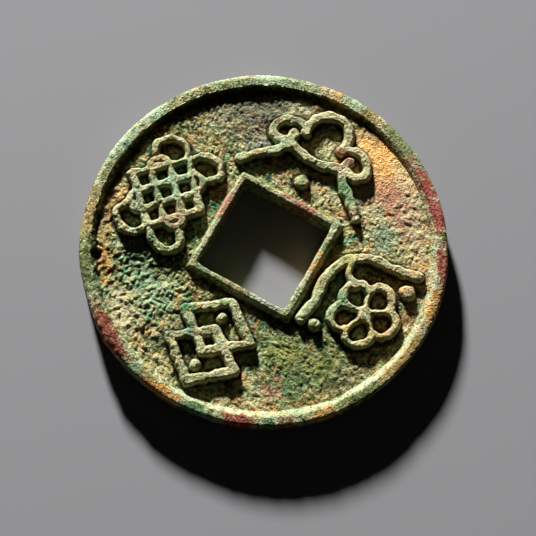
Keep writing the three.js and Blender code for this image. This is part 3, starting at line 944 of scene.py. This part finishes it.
HALF_WIDTH, HALF_HEIGHT, LINK_OFFSET = 4.5, 3.75, 2.15  # of a lozenge, and from the middle row
PEARL_OFFSET, PEARL_RADIUS = 3.5, 0.7
CORNERS = ((1, 0), (0, 1), (-1, 0), (0, -1), (1, 0))
lozenge = np.array(CORNERS) * (HALF_WIDTH, HALF_HEIGHT)
lozenges = [(lozenge + (0, MIDDLE_ROW + side * LINK_OFFSET), STROKE) for side in (-1, 1)]
relief_piece("linked_lozenges", "lozenge_relief", 180, lozenges)
for name, side in (("inner", -1), ("outer", 1)):
    spot = (((0, MIDDLE_ROW + side * PEARL_OFFSET), PEARL_RADIUS),)
    relief_piece(f"lozenge_bead_{name}", f"lozenge_pearl_{name}", 180, (), spot)

# Plum ornament, right of the hole
# Raised in the casting too: a bent branch with a twig, an open blossom of five petals round its eye,
# and two buds that stand apart on the plate.

BLOSSOM, EYE_RADIUS = (1.7, 6.95), 0.95
PETALS = range(90, 450, 72)  # directions of the five petals, in degrees
PETAL_CENTRE, PETAL_RADIUS, PETAL_SPAN = 2.5, 1.75, 94  # the span to each side, in degrees
VEIN_LENGTH = 2.9  # of the lines between the petals


def from_blossom(radius, degrees):
    """The sketch point at a distance and a direction from the blossom's middle."""
    return arc(BLOSSOM, radius, degrees, degrees)[0]


branch = sweep((-5.9, 11.6), (-5.2, 8.2), (-5, 4.6), (-3.4, 1.6), (-0.2, 0.3), (3, 0.5), (6, 0))
twig = sweep((-4, 2.3), (-2, 2.6), (-0.9, 4.2))
plum = [(branch, STROKE), (twig, FINE_STROKE)]
for angle in PETALS:
    centre = from_blossom(PETAL_CENTRE, angle)
    plum.append((arc(centre, PETAL_RADIUS, angle - PETAL_SPAN, angle + PETAL_SPAN), FINE_STROKE))
plum += [(np.array([BLOSSOM, from_blossom(VEIN_LENGTH, angle + 36)]), PETAL_LINE) for angle in PETALS]
relief_piece("plum_branch", "plum_relief", -90, plum, ((BLOSSOM, EYE_RADIUS),))
for name, place, radius in (("outer", (-3.3, 10.6), 0.9), ("inner", (6, 2.1), 0.8)):
    relief_piece(f"bud_{name}", f"plum_bud_{name}", -90, (), ((place, radius),))

# Painted shade in the corners of the plate
# Dark colour painted as shade in the corners between the plate and what is raised on it: round the
# strokes, in the cells of the knot and of the blossom, along the round rim's foot at the upper left
# and along the square rim's foot on its lower right sides, where the shadows fall.

STROKE_SHADE = (0.1, 0.8)  # distances from a stroke between which the painted shade thins out
CORNER_REACH = 1.4  # how far it reaches from the foot of a rim
FOOT_LEAN = (0.0, 0.2)  # the leans where it begins and is in full at the square rim
places = np.zeros(3 * len(plate.data.vertices), np.float32)
plate.data.vertices.foreach_get("co", places)
x, y, z = places.reshape(-1, 3).T / MM
upper = z > PLATE_MIDDLE + 0.1  # the crusted face, without the part inside the metal
beside = np.full(x.shape, FAR)
for degrees, strokes, spots in sketches:
    turn = math.radians(degrees)
    back_x = x[upper] * math.cos(turn) + y[upper] * math.sin(turn)
    back_y = y[upper] * math.cos(turn) - x[upper] * math.sin(turn)
    beside[upper] = np.minimum(beside[upper], distance_to(strokes, spots, back_x, back_y))
soil = 1 - smooth_step(beside, *STROKE_SHADE)
lean = x * LEAN[0] + y * LEAN[1]
# painted shadow along the round rim's foot at the upper left and the square rim's lower right sides
for gap, share in (
    (RIM_FOOT - np.hypot(x, y), smooth_step(-lean, *CORNER_LEAN)),
    (np.maximum(np.abs(x), np.abs(y)) - SQUARE_FOOT, smooth_step(lean, *FOOT_LEAN)),
):
    soil = np.maximum(soil, CORNER_SHADE * upper * share * (1 - smooth_step(gap, 0.0, CORNER_REACH)))
mark_points(plate.data, "soil", soil)

# Floor, lights and camera
# The coin lies on a plain pale table. A small lamp stands low beyond the coin's upper left, so that
# the relief throws long dark shadows, and a broad, weak one fills from the other side.


def plain(name, colour, roughness):
    """A material with one colour and one roughness all over."""
    material = bpy.data.materials.new(name)
    material.use_nodes = True
    shader = material.node_tree.nodes["Principled BSDF"]
    shader.inputs["Base Color"].default_value = (*colour, 1)
    shader.inputs["Roughness"].default_value = roughness
    return material


FLOOR_REACH = 1.5
TABLE_GREY, TABLE_ROUGHNESS = (0.30, 0.295, 0.305), 0.8
mesh = bpy.data.meshes.new("table_top")
corners = [(x * FLOOR_REACH, y * FLOOR_REACH, 0) for x, y in ((-1, -1), (1, -1), (1, 1), (-1, 1))]
mesh.from_pydata(corners, [], [(0, 1, 2, 3)])
mesh.materials.append(plain("pale table", TABLE_GREY, TABLE_ROUGHNESS))
floor = bpy.data.objects.new("table_top", mesh)
bpy.context.scene.collection.objects.link(floor)

# The camera's tilt from straight up, its azimuth, and the azimuth that is up in the picture
CAMERA_TILT, CAMERA_AZIMUTH, IMAGE_UP = (math.radians(v) for v in (17.3, -69.2, 118.9))
CAMERA_DISTANCE, LENS = 0.200, 107.5  # the lens's focal length is in millimetres
COIN_CENTRE = Vector((0, 0, CREST / 2 * MM))
AIM_RIGHT, AIM_DOWN = 0.00045, 0.00249  # the coin stands left of and above the picture's middle


def direction(azimuth, tilt):
    """The way towards an azimuth, tilted by an angle from straight up."""
    across = math.sin(tilt)
    return Vector((across * math.cos(azimuth), across * math.sin(azimuth), math.cos(tilt)))


def turned_to(target, place, up):
    """The matrix of a camera or lamp at a place, looking at a target with its top towards up."""
    back = (place - target).normalized()
    right = up.cross(back).normalized()
    columns = (right, back.cross(right), back)
    turn = Matrix([[columns[j][i] for j in range(3)] for i in range(3)])
    return Matrix.Translation(place) @ turn.to_4x4()


up = Vector((math.cos(IMAGE_UP), math.sin(IMAGE_UP), 0))
place = COIN_CENTRE + direction(CAMERA_AZIMUTH, CAMERA_TILT) * CAMERA_DISTANCE
level = turned_to(COIN_CENTRE, place, up)
aim = COIN_CENTRE + level.col[0].to_3d() * AIM_RIGHT - level.col[1].to_3d() * AIM_DOWN
lens = bpy.data.cameras.new("camera")
lens.lens = LENS
lens.clip_start = 0.01
camera = bpy.data.objects.new("camera", lens)
camera.matrix_world = turned_to(aim, place, up)
bpy.context.scene.collection.objects.link(camera)
bpy.context.scene.camera = camera

# Lamps, as name, azimuth and tilt from straight up in degrees, distance, size and watts
LAMPS = (("key", 134, 71.5, 1.6, 0.16, 74.0), ("fill", -60, 40, 1.5, 1.3, 0.08))
for name, azimuth, tilt, distance, size, watts in LAMPS:
    light = bpy.data.lights.new(name, "AREA")
    light.shape = "DISK"
    light.size = size
    light.energy = watts
    lamp = bpy.data.objects.new(name, light)
    place = COIN_CENTRE + direction(math.radians(azimuth), math.radians(tilt)) * distance
    lamp.matrix_world = turned_to(COIN_CENTRE, place, Vector((0, 0, 1)))
    bpy.context.scene.collection.objects.link(lamp)

SKY, SKY_STRENGTH = (0.93, 0.95, 1.0), 0.005
world = bpy.data.worlds.new("studio")
world.use_nodes = True
background = world.node_tree.nodes["Background"]
background.inputs["Color"].default_value = (*SKY, 1)
background.inputs["Strength"].default_value = SKY_STRENGTH
bpy.context.scene.world = world
bpy.context.scene.view_settings.view_transform = "Standard"
